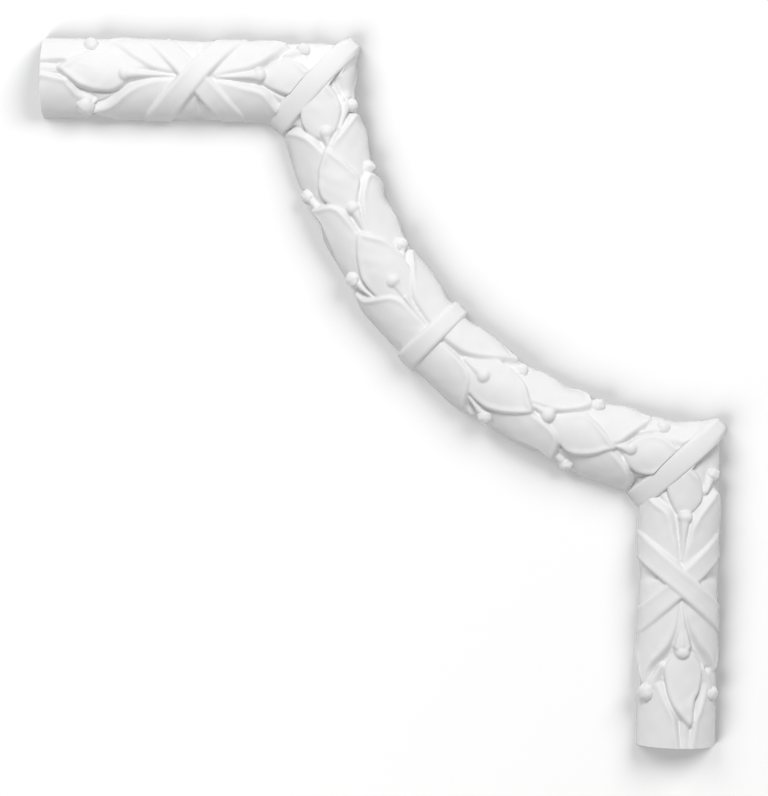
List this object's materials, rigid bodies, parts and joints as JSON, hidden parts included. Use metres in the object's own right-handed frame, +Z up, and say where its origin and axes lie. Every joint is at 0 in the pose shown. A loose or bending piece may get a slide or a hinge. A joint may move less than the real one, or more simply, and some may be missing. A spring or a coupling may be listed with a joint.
{
  "type": "moulding corner piece",
  "caption": "Ornamental corner for a half-round wall moulding: straight arms joined by a concave quarter bow, cast in one with a laurel garland, berries, crossed ribbons and flat bands.",
  "frame": {"origin": "on the flat back, on the moulding's middle line, under the band in the middle of the bow", "axes": "+Y into the wall, +Z up along the lower arm, +X to the right; the upper arm runs towards -X and the relief faces -Y"},
  "size_m": [0.3022, 0.0189, 0.3072],
  "materials": {
    "white_cast": "matte, primed white cast"
  },
  "bodies": {
    "root": {"corner_moulding": "white_cast"}
  },
  "joints": []
}
